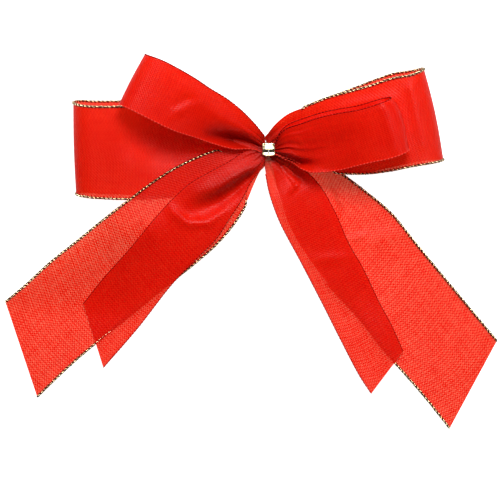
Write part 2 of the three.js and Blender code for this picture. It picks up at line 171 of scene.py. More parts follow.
# ------------------------------------------------------------------ heights, as in the CAD model
LOOP_Z = {
    "wide_loop_left": (
        pchip([[0, 2.2], [5, 2.4], [14, 2.4], [24, 0.75], [90, 0.75]]),
        pchip([[0, 3.0], [5, 3.3], [20, 5.6], [40, 7.6], [52, 10.2], [61, 14.3], [67, 15.1], [90, 15.2]]),
        pchip([[0, 0.7], [90, 0.7]]),
    ),
    "wide_loop_right": (
        pchip([[0, 4.0], [5, 4.3], [30, 3.9], [50, 2.6], [68, 0.9], [90, 0.9]]),
        pchip([[0, 4.8], [5, 5.2], [20, 8.2], [40, 12.2], [56, 14.8], [66, 15.4], [90, 15.4]]),
        pchip([[0, 0.6], [20, 0.55], [36, 0.6], [60, 0.95], [90, 1.0]]),
    ),
    "narrow_loop_left": (
        pchip([[0, 5.4], [3, 5.7], [6, 6.3], [12, 7.2], [20, 8.4], [40, 13.4], [56, 17.0], [80, 17.2]]),
        pchip([[0, 6.0], [3, 6.6], [6, 8.4], [14, 13], [30, 20.5], [46, 26.3], [60, 28.0], [80, 28.0]]),
        pchip([[0, 0.5], [14, 0.45], [24, 0.6], [45, 1.0], [90, 1.0]]),
    ),
    "narrow_loop_right": (
        pchip([[0, 5.1], [3, 5.5], [6, 6.6], [12, 8.4], [20, 10.2], [40, 14.4], [52, 16.8], [80, 17.2]]),
        pchip([[0, 5.9], [3, 6.5], [6, 8.0], [14, 12.6], [28, 19.5], [42, 25.5], [54, 27.4], [80, 27.4]]),
        pchip([[0, 0.6], [14, 0.55], [24, 0.6], [45, 0.85], [90, 0.9]]),
    ),
}


def wide_left_front(x, y):
    back, front, low = LOOP_Z["wide_loop_left"]
    s = -x
    share = np.clip(0.5 + y / 40, 0, 1)
    b = back(s)
    lo = low(s)
    return b + (front(s) - b) * (lo + (1 - lo) * share)


def wide_tail_left_z(x, y):
    edge = -np.clip(2.3 + (-x - 4.5) * 0.7, 2.3, 20.6)
    past = np.maximum(0, edge - y)
    return 0.25 + (wide_left_front(x, y) + 1.3) * (1 - smooth(past / 52))


tail_right_z = pchip([[0, 1.8], [5, 1.5], [10, 1.1], [15, 0.8], [28, 0.25], [200, 0.25]])


def narrow_tail_right_z(x, y):
    run = np.hypot(x, y)
    lean = np.clip(0.88 * x + 0.48 * y + 12.5, 0, 25) * 0.12  # the outer edge stands higher
    return tail_right_z(run) + 1.4 + lean * smooth((run - 13) / 12) * (1 - smooth((run - 45) / 35))


TAIL_Z = {
    "wide_tail_left": wide_tail_left_z,
    "narrow_tail_left": lambda x, y: wide_tail_left_z(x, y) + 1.2,
    "wide_tail_right": lambda x, y: tail_right_z(np.hypot(x, y)),
    "narrow_tail_right": narrow_tail_right_z,
}


# ------------------------------------------------------------------ strips
def path_rows(name, step):
    """Stations of a piece from the knot outwards: (share along the edge lines, layer) with layer -1 back .. 1 front."""
    e = EDGES[name]
    fa, fb = line(e["a"]), line(e["b"])
    if name in LOOP_Z:
        back, front, _ = LOOP_Z[name]
        far = np.linalg.norm((fa(1.0) + fb(1.0)) / 2)
        half = float(front(far) - back(far)) / 2
        turn = 1 - half / far
        n = int(far * turn / step)
        t0 = np.linspace(0, turn, n, endpoint=False)
        m = max(16, int(math.pi * half / (0.6 * step)))
        phi = np.linspace(0, math.pi, m, endpoint=False)
        t = np.concatenate([t0, turn + (1 - turn) * np.sin(phi), t0[::-1] * 1.0])
        layer = np.concatenate([-np.ones(n), -np.cos(phi), np.ones(n)])
        t[n + m] = turn
        t = np.concatenate([t[: n + m], np.linspace(turn, 0, n + 1)])
        layer = np.concatenate([layer[: n + m], np.ones(n + 1)])
        return fa, fb, t, layer
    length = max(np.linalg.norm(fa(1.0)), np.linalg.norm(fb(1.0)))
    t = np.linspace(0, 1, int(length / step))
    return fa, fb, t, np.ones(len(t))


def crease(x, y, rows):
    """Rows are x, y, height and half-width along a line in plan; the height falls off to the sides as a bell."""
    rows = np.array(rows, float)
    best = np.full(x.shape, 1e9)
    out = np.zeros_like(x)
    for p, q in zip(rows[:-1], rows[1:]):
        d = q[:2] - p[:2]
        t = np.clip(((x - p[0]) * d[0] + (y - p[1]) * d[1]) / (d @ d), 0, 1)
        dist = np.hypot(x - p[0] - t * d[0], y - p[1] - t * d[1])
        amp, wid = p[2] + t * (q[2] - p[2]), p[3] + t * (q[3] - p[3])
        near = dist < best
        out = np.where(near, amp * np.exp(-((dist / wid) ** 2)), out)
        best = np.where(near, dist, best)
    return out


def build_strip(name, width, step, cols, creases=(), pleats=None, ripple=0.3, seed=1, painted_shade_rows=()):
    """Grid (rows, cols, 3) of a ribbon piece in mm, its cloth coordinates (rows, cols, 2) and its painted shade share
    (rows, cols), high near the knot and in the listed painted_shade_rows creases.
    """
    e = EDGES[name]
    fa, fb, t, layer = path_rows(name, step)
    fine = 241
    f = np.linspace(0, 1, fine)  # 0 at edge a, 1 at edge b
    A, B = fa(t), fb(t)
    if "shift" in e:  # the back layer's edges stand a little above the front layer's
        up = e["shift"] * (1 - layer) / 2 * smooth((t - e.get("shift_from", 0.0)) / 0.3)
        A = A + np.stack([0 * up, up], -1)
        B = B + np.stack([0 * up, up], -1)
    P = A[:, None, :] + (B - A)[:, None, :] * f[None, :, None]
    if "bulge" in e:  # the fold bows outwards between its corners
        amount, power = e["bulge"]
        mid = (fa(1.0) + fb(1.0)) / 2
        push = amount * np.sin(math.pi * f**power)[None, :] * smooth((t - 0.7) / 0.3)[:, None]
        P = P + push[..., None] * (mid / np.linalg.norm(mid))
    x, y = P[..., 0], P[..., 1]
    if name in LOOP_Z:
        back, front, low = LOOP_Z[name]
        far = np.linalg.norm((fa(1.0) + fb(1.0)) / 2)
        r = far * t[:, None] + 0 * f
        lo = low(r)
        share = lo + (1 - lo) * (1 - f)[None, :]
        zb = back(r)
        zf = zb + (front(r) - zb) * share
        z = (zb + zf) / 2 + (zf - zb) / 2 * layer[:, None]
    else:
        z = TAIL_Z[name](x, y)
    chord = np.linalg.norm(B - A, axis=1)
    run = np.linalg.norm((A + B) / 2, axis=1)  # distance from the knot
    across = (f - 0.5)[None, :] * chord[:, None]  # mm from the middle
    D = np.zeros_like(z)
    front_share = smooth((layer + 0.2) / 0.9)[:, None] if name in LOOP_Z else np.ones((len(t), 1))
    for rows, back_share in creases:
        D += crease(x, y, rows) * (front_share + (1 - front_share) * back_share)
    if pleats:
        n, amp, ph = pleats["n"], pchip(pleats["amp"])(run), pleats.get("phase", 0.0)
        g = np.random.default_rng(seed)
        wob = sum(g.uniform(0.3, 1) * np.sin(2 * math.pi * k * f + g.uniform(0, 6.3)) for k in (1, 2, 3))
        wave = np.sin(2 * math.pi * n * f + ph + 0.9 * wob)
        wave2 = np.sin(2 * math.pi * (2.3 * n) * f + 1.7 * ph + 1.4 * wob)
        side = np.where(layer > 0, 1.0, 0.5)
        D += (amp * side)[:, None] * (wave + 0.35 * wave2)[None, :]
    # slow ripples along the cloth
    g = np.random.default_rng(seed + 100)
    L = np.concatenate([[0], np.cumsum(np.hypot(*np.diff(P[:, fine // 2], axis=0).T))])
    rip = np.zeros_like(z)
    for _ in range(7):
        k1, k2 = g.uniform(0.05, 0.22), g.uniform(-0.16, 0.16)
        rip += g.uniform(0.3, 1) * np.sin(k1 * L[:, None] + k2 * across + g.uniform(0, 6.3))
    D += ripple * 0.35 * rip * smooth((run - 6) / 14)[:, None]
    z = z + D
    # painted shade: the cloth is darkened and lets less light through within about 10 mm of the knot, where the tie
    # shades it, and in the listed painted_shade_rows creases
    painted_shade = 0.75 * (1 - smooth((run - 3) / 7))[:, None] + 0 * z
    for rows in painted_shade_rows:
        painted_shade = np.maximum(painted_shade, crease(x, y, rows) * front_share)
    X, Y = at(x, y, z)
    G = np.stack([X, Y, z], -1)
    # even cloth spacing across
    seg = np.linalg.norm(np.diff(G, axis=1), axis=2)
    cum = np.concatenate([np.zeros((len(t), 1)), np.cumsum(seg, axis=1)], axis=1)
    out = np.empty((len(t), cols, 3))
    shade_share = np.empty((len(t), cols))
    want = np.linspace(0, 1, cols)
    for i in range(len(t)):
        c = cum[i] / cum[i, -1]
        for k in range(3):
            out[i, :, k] = np.interp(want, c, G[i, :, k])
        shade_share[i] = np.interp(want, c, painted_shade[i])
    # cloth coordinates: along each column, and across by the woven width
    lu = np.concatenate([np.zeros((1, cols)), np.cumsum(np.linalg.norm(np.diff(out, axis=0), axis=2), axis=0)])
    lv = np.broadcast_to((want - 0.5) * width, lu.shape)
    return out, np.stack([lu, lv], -1), shade_share


def make_mesh(name, grid, uv, shade_share, material):
    n, m = grid.shape[:2]
    verts = (grid.reshape(-1, 3) * MM).tolist()
    idx = np.arange(n * m).reshape(n, m)
    q = np.stack([idx[:-1, :-1], idx[1:, :-1], idx[1:, 1:], idx[:-1, 1:]], -1).reshape(-1, 4)
    mesh = bpy.data.meshes.new(name)
    mesh.from_pydata(verts, [], q.tolist())
    mesh.polygons.foreach_set("use_smooth", np.ones(len(q), bool))
    layer = mesh.uv_layers.new(name="ribbon")
    flat = uv.reshape(-1, 2)
    layer.data.foreach_set("uv", (flat[q.reshape(-1)] * 0.1).astype(np.float32).ravel())  # 1 unit = 10 mm
    # painted shade share, kept as a vertex colour for the cloth material
    shade = mesh.color_attributes.new(name="painted_shade_rows", type="FLOAT_COLOR", domain="POINT")
    k = np.clip(shade_share.reshape(-1), 0, 1)
    shade.data.foreach_set("color", np.stack([k, k, k, np.ones_like(k)], -1).astype(np.float32).ravel())
    mesh.materials.append(material)
    mesh.update()
    obj = bpy.data.objects.new(name, mesh)
    bpy.context.scene.collection.objects.link(obj)
    return obj


def tube(points, radius, sides, twist=0.0, phase=0.0, offset=0.0, close=True, bead=None, size=None):
    """Tube round a line of points (n, 3) mm; with offset, round a helix about it of that radius and twist radians per mm."""
    p = np.array(points, float)
    tan = np.gradient(p, axis=0)
    tan /= np.linalg.norm(tan, axis=1, keepdims=True)
    up = np.array([0.0, 0.0, 1.0])
    nrm = np.cross(tan, up)
    bad = np.linalg.norm(nrm, axis=1) < 0.2
    nrm[bad] = np.cross(tan[bad], np.array([0.0, 1.0, 0.0]))
    # parallel transport keeps the frame from spinning
    n0 = nrm[0] / np.linalg.norm(nrm[0])
    frames = [n0]
    for i in range(1, len(p)):
        v = frames[-1] - tan[i] * np.dot(frames[-1], tan[i])
        frames.append(v / np.linalg.norm(v))
    n1 = np.array(frames)
    n2 = np.cross(tan, n1)
    cum = np.concatenate([[0], np.cumsum(np.linalg.norm(np.diff(p, axis=0), axis=1))])
    ang = cum * twist + phase
    size = np.ones(len(p)) if size is None else size
    centre = p + offset * size[:, None] * (np.cos(ang)[:, None] * n1 + np.sin(ang)[:, None] * n2)
    a = np.linspace(0, 2 * math.pi, sides, endpoint=False)
    rad = np.full(len(p), radius) * size
    if bead:  # knots of thread along the edge: (extra radius, spacing)
        rad = radius + bead[0] * np.clip(np.sin(2 * math.pi * cum / bead[1]), 0, 1) ** 0.7
    ring = centre[:, None, :] + rad[:, None, None] * (np.cos(a)[None, :, None] * n1[:, None, :] + np.sin(a)[None, :, None] * n2[:, None, :])
    verts = ring.reshape(-1, 3)
    n = len(p)
    i = np.arange(n * sides).reshape(n, sides)
    j = np.roll(i, -1, axis=1)
    q = np.stack([i[:-1], i[1:], j[1:], j[:-1]], -1).reshape(-1, 4).tolist()
    if close:
        q.append(i[0].tolist())
        q.append(i[-1][::-1].tolist())
    return verts, q


def resample(points, step):
    p = np.array(points, float)
    cum = np.concatenate([[0], np.cumsum(np.linalg.norm(np.diff(p, axis=0), axis=1))])
    n = max(4, int(cum[-1] / step))
    s = np.linspace(0, cum[-1], n)
    return np.stack([np.interp(s, cum, p[:, k]) for k in range(3)], -1)


def mesh_of(name, parts):
    """parts: (verts, faces, material)"""
    verts, faces, mats, mi = [], [], [], []
    for v, q, mat in parts:
        base = len(verts)
        verts.extend((np.array(v) * MM).tolist())
        faces.extend([[k + base for k in f] for f in q])
        if mat not in mats:
            mats.append(mat)
        mi.extend([mats.index(mat)] * len(q))
    mesh = bpy.data.meshes.new(name)
    mesh.from_pydata(verts, [], faces)
    for m in mats:
        mesh.materials.append(m)
    mesh.polygons.foreach_set("material_index", np.array(mi, np.int32))
    mesh.polygons.foreach_set("use_smooth", np.ones(len(faces), bool))
    mesh.update()
    obj = bpy.data.objects.new(name, mesh)
    bpy.context.scene.collection.objects.link(obj)
    return obj


# ------------------------------------------------------------------ materials
def new_mat(name):
    m = bpy.data.materials.new(name)
    m.use_nodes = True
    nt = m.node_tree
    for n in list(nt.nodes):
        nt.nodes.remove(n)
    return m, nt


def node(nt, kind, **kw):
    n = nt.nodes.new(kind)
    for k, v in kw.items():
        setattr(n, k, v)
    return n


def math_node(nt, op, a, b=None, c=None):
    n = node(nt, "ShaderNodeMath", operation=op)
    for i, v in enumerate((a, b, c)):
        if v is None:
            continue
        if isinstance(v, (int, float)):
            n.inputs[i].default_value = v
        else:
            nt.links.new(v, n.inputs[i])
    return n.outputs[0]


def ribbon_material(name, light, dark, through, rough, weft_mm, warp_mm, relief, open_share, pass_share):
    """Thin woven ribbon: ribs across it, threads along it, slubs, light coming through the cloth, and painted shade in
    creases and near the knot from a vertex colour mask.
    """
    m, nt = new_mat(name)
    L = nt.links.new
    out = node(nt, "ShaderNodeOutputMaterial")
    uvn = node(nt, "ShaderNodeUVMap", uv_map="ribbon")
    # threads wander a little
    wob = node(nt, "ShaderNodeTexNoise")
    wob.inputs["Scale"].default_value = 1.3
    wob.inputs["Detail"].default_value = 2.0
    L(uvn.outputs["UV"], wob.inputs["Vector"])
    sep = node(nt, "ShaderNodeSeparateXYZ")
    L(uvn.outputs["UV"], sep.inputs[0])
    u = math_node(nt, "MULTIPLY_ADD", wob.outputs["Fac"], 0.10, sep.outputs["X"])
    v = math_node(nt, "MULTIPLY_ADD", wob.outputs["Fac"], 0.07, sep.outputs["Y"])
    weft = math_node(nt, "SINE", math_node(nt, "MULTIPLY", u, 20 * math.pi / weft_mm))
    warp = math_node(nt, "SINE", math_node(nt, "MULTIPLY", v, 20 * math.pi / warp_mm))
    weave = math_node(nt, "MULTIPLY", weft, warp)

    def streaks(sx, sy, scale=1.0):
        mp = node(nt, "ShaderNodeMapping")
        mp.inputs["Scale"].default_value = (sx, sy, 1.0)
        L(uvn.outputs["UV"], mp.inputs["Vector"])
        t = node(nt, "ShaderNodeTexNoise")
        t.inputs["Scale"].default_value = scale
        t.inputs["Detail"].default_value = 2.0
        L(mp.outputs[0], t.inputs["Vector"])
        return t.outputs["Fac"]

    across = streaks(7.0, 0.9)
    along = streaks(0.7, 7.0)
    grain = streaks(6.0, 6.0)
    noise = math_node(nt, "ADD", math_node(nt, "ADD", across, along), grain)  # about 1.5 on average
    noise = math_node(nt, "MULTIPLY_ADD", noise, 0.55, -0.825)
    h = math_node(nt, "MULTIPLY_ADD", weft, 0.26, math_node(nt, "MULTIPLY", weave, 0.60))
    w = math_node(nt, "ADD", math_node(nt, "ADD", h, noise), 0.5)
    ramp = node(nt, "ShaderNodeValToRGB")
    ramp.color_ramp.elements[0].position = 0.08
    ramp.color_ramp.elements[0].color = (*dark, 1)
    ramp.color_ramp.elements[1].position = 0.92
    ramp.color_ramp.elements[1].color = (*light, 1)
    L(w, ramp.inputs["Fac"])
    bump = node(nt, "ShaderNodeBump")
    bump.inputs["Strength"].default_value = relief
    bump.inputs["Distance"].default_value = 0.00014
    L(math_node(nt, "ADD", h, math_node(nt, "MULTIPLY", noise, 0.7)), bump.inputs["Height"])
    bs = node(nt, "ShaderNodeBsdfPrincipled")
    # painted shade: the base colour is multiplied darker where the vertex colour mask marks creases and the knot
    shade_darken = node(nt, "ShaderNodeMixRGB", blend_type="MULTIPLY")
    shade_darken.inputs["Color2"].default_value = (0.38, 0.15, 0.15, 1)
    shade_mask_node = node(nt, "ShaderNodeVertexColor", layer_name="painted_shade_rows")
    L(shade_mask_node.outputs["Color"], shade_darken.inputs["Fac"])
    L(ramp.outputs["Color"], shade_darken.inputs["Color1"])
    L(shade_darken.outputs["Color"], bs.inputs["Base Color"])
    bs.inputs["Roughness"].default_value = rough
    bs.inputs["Specular IOR Level"].default_value = 0.17
    L(bump.outputs["Normal"], bs.inputs["Normal"])
    tr = node(nt, "ShaderNodeBsdfTranslucent")
    tr.inputs["Color"].default_value = (*through, 1)
    L(bump.outputs["Normal"], tr.inputs["Normal"])
    mix = node(nt, "ShaderNodeMixShader")
    shade_share = node(nt, "ShaderNodeVertexColor", layer_name="painted_shade_rows")  # painted shade: the same mask also lets less light through the cloth
    L(math_node(nt, "MULTIPLY_ADD", shade_share.outputs["Color"], -0.92 * pass_share, pass_share), mix.inputs["Fac"])
    L(bs.outputs[0], mix.inputs[1])
    L(tr.outputs[0], mix.inputs[2])
    clear = node(nt, "ShaderNodeBsdfTransparent")
    clear.inputs["Color"].default_value = (1.0, 0.95, 0.6, 1)
    mix2 = node(nt, "ShaderNodeMixShader")
    holes = math_node(nt, "MULTIPLY", math_node(nt, "MAXIMUM", math_node(nt, "ADD", w, -0.2), 0.0), 3.0 * open_share)
    L(holes, mix2.inputs["Fac"])
    L(mix.outputs[0], mix2.inputs[1])
    L(clear.outputs[0], mix2.inputs[2])
    L(mix2.outputs[0], out.inputs["Surface"])
    return m


WIDE_MAT = ribbon_material("wide_ribbon_taffeta", (1.0, 0.030, 0.008), (0.72, 0.0008, 0.0002), (1.0, 0.028, 0.005), 0.33, 1.36, 1.24, 0.60, 0.038, 0.34)
NARROW_MAT = ribbon_material("narrow_ribbon_satin", (1.0, 0.024, 0.006), (0.74, 0.0008, 0.0002), (1.0, 0.022, 0.003), 0.30, 1.30, 1.14, 0.50, 0.030, 0.34)


def metal(name, color, rough, crinkle=None, scale=300.0):
    m, nt = new_mat(name)
    L = nt.links.new
    out = node(nt, "ShaderNodeOutputMaterial")
    bs = node(nt, "ShaderNodeBsdfPrincipled")
    bs.inputs["Base Color"].default_value = (*color, 1)
    bs.inputs["Metallic"].default_value = 1.0
    bs.inputs["Roughness"].default_value = rough
    tc = node(nt, "ShaderNodeTexCoord")
    ns = node(nt, "ShaderNodeTexNoise")
    ns.inputs["Scale"].default_value = scale
    ns.inputs["Detail"].default_value = 4.0
    L(tc.outputs["Object"], ns.inputs["Vector"])
    rr = node(nt, "ShaderNodeMapRange")
    rr.inputs["From Min"].default_value = 0.3
    rr.inputs["From Max"].default_value = 0.7
    rr.inputs["To Min"].default_value = rough * 0.7
    rr.inputs["To Max"].default_value = rough * 1.5
    L(ns.outputs["Fac"], rr.inputs["Value"])
    L(rr.outputs[0], bs.inputs["Roughness"])
    cr = node(nt, "ShaderNodeValToRGB")
    cr.color_ramp.elements[0].position = 0.35
    cr.color_ramp.elements[0].color = tuple(c * 0.78 for c in color) + (1,)
    cr.color_ramp.elements[1].position = 0.6
    cr.color_ramp.elements[1].color = (*color, 1)
    L(ns.outputs["Fac"], cr.inputs["Fac"])
    L(cr.outputs["Color"], bs.inputs["Base Color"])
    if crinkle:
        b = node(nt, "ShaderNodeBump")
        b.inputs["Strength"].default_value = crinkle
        b.inputs["Distance"].default_value = 0.0002
        L(ns.outputs["Fac"], b.inputs["Height"])
        L(b.outputs["Normal"], bs.inputs["Normal"])
    L(bs.outputs[0], out.inputs["Surface"])
    return m


GOLD = metal("gold_lurex", (1.0, 0.82, 0.50), 0.20, 0.6, 900.0)
DARK = metal("dark_lurex", (0.13, 0.035, 0.02), 0.42, 0.3, 900.0)
FOIL = metal("tie_foil", (0.88, 0.77, 0.47), 0.22, 0.04, 260.0)
STEEL = metal("tie_wire", (0.55, 0.55, 0.53), 0.35, 0.2, 800.0)


def picot_material(name, dark, light, rough, gloss):
    m, nt = new_mat(name)
    L = nt.links.new
    out = node(nt, "ShaderNodeOutputMaterial")
    bs = node(nt, "ShaderNodeBsdfPrincipled")
    tc = node(nt, "ShaderNodeTexCoord")
    ns = node(nt, "ShaderNodeTexNoise")
    ns.inputs["Scale"].default_value = 1400.0
    L(tc.outputs["Object"], ns.inputs["Vector"])
    cr = node(nt, "ShaderNodeValToRGB")
    cr.color_ramp.elements[0].color = (*dark, 1)
    cr.color_ramp.elements[1].color = (*light, 1)
    L(ns.outputs["Fac"], cr.inputs["Fac"])
    L(cr.outputs["Color"], bs.inputs["Base Color"])
    bs.inputs["Roughness"].default_value = rough
    bs.inputs["Specular IOR Level"].default_value = gloss
    L(bs.outputs[0], out.inputs["Surface"])
    return m


# narrow selvedge thread: PICOT is the thread's own colour, PICOT_LIT a lighter, glossier copy as a painted highlight,
# and the two gap materials are painted shade between the beads, the upper one darker
PICOT = picot_material("picot_thread", (0.45, 0.002, 0.001), (0.95, 0.03, 0.015), 0.45, 0.12)
PICOT_GAP_SHADE = picot_material("picot_gap_shade", (0.16, 0.0005, 0.0005), (0.30, 0.001, 0.001), 0.80, 0.0)
PICOT_SHADE = picot_material("picot_gap_upper_shade", (0.05, 0.0005, 0.001), (0.14, 0.001, 0.003), 0.85, 0.0)
PICOT_LIT = picot_material("picot_thread_lit", (0.90, 0.02, 0.010), (1.0, 0.085, 0.05), 0.42, 0.20)

# ------------------------------------------------------------------ the pieces
STEP = 0.8
LEFT_DENT = [[-3.6, -8.8, -0.3, 1.0], [-8.5, -12.6, -2.6, 2.2], [-15, -18.0, -3.4, 3.0], [-22, -22.8, -3.2, 3.6], [-30, -26.0, -2.2, 4.2], [-33, -26.6, -1.4, 4.2]]
LEFT_RIDGE = [[-3.5, -4.8, 0.4, 1.6], [-8, -7.8, 1.5, 2.6], [-14.5, -12.0, 2.2, 3.6], [-21, -16.6, 1.8, 4.0], [-28, -19.5, 0.6, 4.0]]
LEFT_HUMP = [[-44, -30, 0.3, 7.0], [-52, -33, 1.8, 8.0], [-62, -38, 1.6, 9.0], [-72, -46, 0.3, 9.0]]
# painted_shade_rows list the creases whose cloth is painted darker (painted shade)
SPEC = {
    "wide_loop_left": dict(
        width=WIDE, cols=65, seed=11, ripple=0.25,
        pleats=dict(n=4, amp=[[0, 0.3], [5, 0.7], [14, 0.8], [28, 0.3], [40, 0.0], [100, 0.0]], phase=0.4),
        creases=[
            ([[-5, 1.0, -0.3, 2.0], [-11.4, 3.2, -1.3, 2.8], [-17, 4.4, -1.6, 3.0], [-24, 5.6, -0.8, 3.0]], 0.0),
            ([[-56, 3, -1.8, 6.0], [-48, 2, -2.9, 7.0], [-38, 1.5, -2.9, 7.0], [-28, 0, -1.8, 6.0], [-20, -1, -0.6, 5.0]], 0.0),
        ],
    ),
    "wide_loop_right": dict(
        width=WIDE, cols=65, seed=12, ripple=0.3,
        pleats=dict(n=4, amp=[[0, 0.3], [5, 0.6], [14, 0.6], [28, 0.2], [40, 0.0], [100, 0.0]], phase=1.3),
        creases=[
            ([[52, 22, 0.9, 3.0], [38, 19.6, 0.8, 2.6], [26, 16, 0.5, 2.2]], 0.0),
            ([[61.5, 26, 0.7, 2.4], [64.5, 12, 0.6, 2.4], [67, 2, 0.3, 2.4]], 0.0),
        ],
    ),
    "narrow_loop_left": dict(
        width=NARROW, cols=53, seed=13, ripple=0.35,
        painted_shade_rows=[[[-2.5, 1.0, 1.0, 1.6], [-6.4, 2.4, 1.0, 2.4], [-11.4, 4.4, 1.0, 3.2], [-16.6, 5.4, 1.0, 3.3], [-23.5, 6.4, 0.7, 3.0], [-30, 7.6, 0.0, 2.6]]],
        pleats=dict(n=3, amp=[[0, 0.2], [5, 0.3], [12, 0.2], [22, 0.0], [100, 0.0]], phase=0.2),
        creases=[
            ([[-3.2, 0.5, -1.0, 0.9], [-6.4, 1.5, -3.4, 1.4], [-11.4, 3.2, -5.8, 2.2], [-16.6, 4.4, -5.8, 2.6], [-22.9, 5.4, -3.0, 2.8], [-29, 7.0, -0.2, 2.4]], 0.42),
            ([[-6, 2.6, -0.2, 1.8], [-12, 4.8, -1.0, 3.0], [-20, 6.6, -1.2, 3.6], [-28, 9, -0.2, 4.0]], 0.3),
            ([[-41.5, 14.0, 0.2, 1.6], [-37.5, 16.6, 0.75, 2.0], [-33.5, 18.8, 0.55, 1.8], [-30, 20.0, 0.1, 1.6]], 0.0),
            ([[-40.5, 19.0, -0.2, 1.6], [-35.5, 21.8, -0.5, 1.8], [-31, 23.0, -0.1, 1.6]], 0.0),
            ([[-34, 26, 0.5, 5.0], [-22, 14.5, 1.1, 4.4], [-15, 10.5, 1.5, 3.6], [-9, 7.0, 0.9, 2.2]], 0.0),
        ],
    ),
    "narrow_loop_right": dict(
        width=NARROW, cols=53, seed=14, ripple=0.3,
        painted_shade_rows=[[[3.4, -2.0, 1.0, 1.2], [8.0, -3.9, 1.0, 1.7], [12.5, -5.2, 0.9, 1.9], [17.5, -6.4, 0.4, 2.0], [22, -6.8, 0.0, 2.0]]],
        pleats=dict(n=4, amp=[[0, 0.2], [5, 0.4], [12, 0.35], [20, 0.12], [30, 0.0], [100, 0.0]], phase=2.0),
        creases=[
            ([[3.6, -2.2, -1.2, 0.8], [7.5, -3.9, -4.0, 1.2], [11.5, -5.2, -5.2, 1.5], [15.5, -6.2, -3.2, 1.8], [20, -6.6, -0.5, 1.8]], 0.5),
            ([[7.0, -4.9, 0.3, 0.7], [12, -7.4, 1.1, 0.9], [18.0, -9.8, 1.2, 1.0], [24, -9.9, 0.7, 1.0], [30, -9.0, 0.1, 1.0]], 0.0),
            ([[12, 4.8, 0.1, 0.8], [14.2, 2.6, 0.45, 0.9], [16.5, 0.6, 0.1, 0.8]], 0.0),
            ([[20, -1.5, -0.8, 4.5], [28, 2.5, -1.3, 5.0], [37, 5.5, -0.8, 5.0]], 0.0),
            ([[49.5, 17, 0.5, 2.4], [52.5, 8, 0.5, 2.4], [54.5, 0, 0.3, 2.4]], 0.0),
        ],
    ),
    "wide_tail_left": dict(
        width=WIDE, cols=65, seed=15, ripple=0.25,
        pleats=dict(n=4, amp=[[0, 0.2], [5, 0.3], [14, 0.2], [24, 0.0], [200, 0.0]], phase=0.9),
        creases=[(LEFT_DENT, 1.0), (LEFT_RIDGE, 1.0), (LEFT_HUMP, 1.0)],
    ),
    "wide_tail_right": dict(
        width=WIDE, cols=65, seed=16, ripple=0.2,
        pleats=dict(n=4, amp=[[0, 0.2], [5, 0.25], [14, 0.2], [30, 0.0], [200, 0.0]], phase=2.1),
        creases=[
            ([[27.5, -14.2, 0.4, 1.2], [29.8, -18, 1.5, 1.5], [31.0, -23, 1.5, 1.4], [31.2, -29, 0.6, 1.2]], 1.0),
            ([[33.8, -38.6, 0.3, 1.0], [37.2, -38.4, 1.1, 1.2], [41.5, -36.4, 0.4, 1.2]], 1.0),
            ([[31.5, -42, 0.3, 3], [50, -38, 0.5, 4], [60, -36, 0.3, 3]], 1.0),
        ],
    ),
    "narrow_tail_left": dict(
        width=NARROW, cols=53, seed=17, ripple=0.25,
        painted_shade_rows=[[[-3, -6.5, 0.6, 1.6], [-8, -9.7, 0.8, 2.6], [-14, -13.0, 0.8, 3.4], [-20, -16.8, 0.7, 3.6], [-28, -20.2, 0.5, 3.6], [-34, -22.5, 0.0, 3.6]]],
        pleats=dict(n=3, amp=[[0, 0.15], [5, 0.25], [12, 0.08], [16, 0.0], [200, 0.0]], phase=0.6),
        creases=[
            (LEFT_DENT, 1.0),
            (LEFT_RIDGE, 1.0),
            (LEFT_HUMP, 1.0),
            ([[-19, -26.6, 0.4, 1.8], [-26, -31.4, 1.2, 2.2], [-34.5, -31.6, 1.3, 2.2], [-40.5, -27.0, 0.8, 2.0], [-42.5, -23.5, 0.2, 1.6]], 1.0),
        ],
    ),
    "narrow_tail_right": dict(
        width=NARROW, cols=53, seed=18, ripple=0.25,
        painted_shade_rows=[[[0.0, -3.4, 1.0, 1.6], [3.0, -5.0, 1.0, 1.6], [8.0, -8.0, 0.9, 2.0], [13.4, -11.6, 0.5, 2.2], [16.5, -15.0, 0.0, 2.0]]],
        pleats=dict(n=3, amp=[[0, 0.2], [5, 0.3], [12, 0.25], [24, 0.0], [200, 0.0]], phase=2.6),
        creases=[
            ([[1.0, -4.2, -0.8, 0.9], [6.5, -7.4, -1.7, 1.3], [13.2, -12.0, -1.5, 1.5], [16, -15, -0.2, 1.4]], 1.0),
            ([[13.6, -12.9, 0.3, 0.9], [11.8, -15.6, 1.5, 1.0], [9.0, -18.9, 0.3, 0.9]], 1.0),
            ([[16, -48, 0.05, 2.0], [26, -47, 0.5, 2.6], [36, -46, 0.2, 2.4]], 1.0),
        ],
    ),
}
# stretches (from, to, mm from the knot) where an edge is rolled under its own ribbon: side 0 is edge a, -1 is edge b
HIDDEN = {("wide_loop_right", 0): (-3.0, 20.0), ("wide_tail_left", 0): (-3.0, 18.5), ("wide_tail_left", -1): (-3.0, 22.0), ("wide_loop_right", -1): (-3.0, 27.0), ("wide_loop_left", 0): (-3.0, 6.0), ("wide_loop_left", -1): (-3.0, 20.0), ("wide_tail_right", 0): (-3.0, 20.0), ("wide_tail_right", -1): (-3.0, 60.0)}
# CAD nodes that each cloth piece stands in for; the loops also stand in for the gathered middles inside the tie
REPLACES = {
    "wide_loop_left": ["wide_loop_left", "wide_ribbon_gather"],
    "narrow_loop_left": ["narrow_loop_left", "narrow_ribbon_gather"],
    "narrow_tail_left": ["narrow_tail_left", "narrow_tail_left_upper"],
    "narrow_tail_right": ["narrow_tail_right", "narrow_tail_right_upper"],
}


def attach(obj, name):
    """Bakes the object's transform into its mesh; both branches do the same, and nothing is parented to a body here."""
    if name.startswith("narrow_tail"):
        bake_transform(obj)
    else:
        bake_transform(obj)


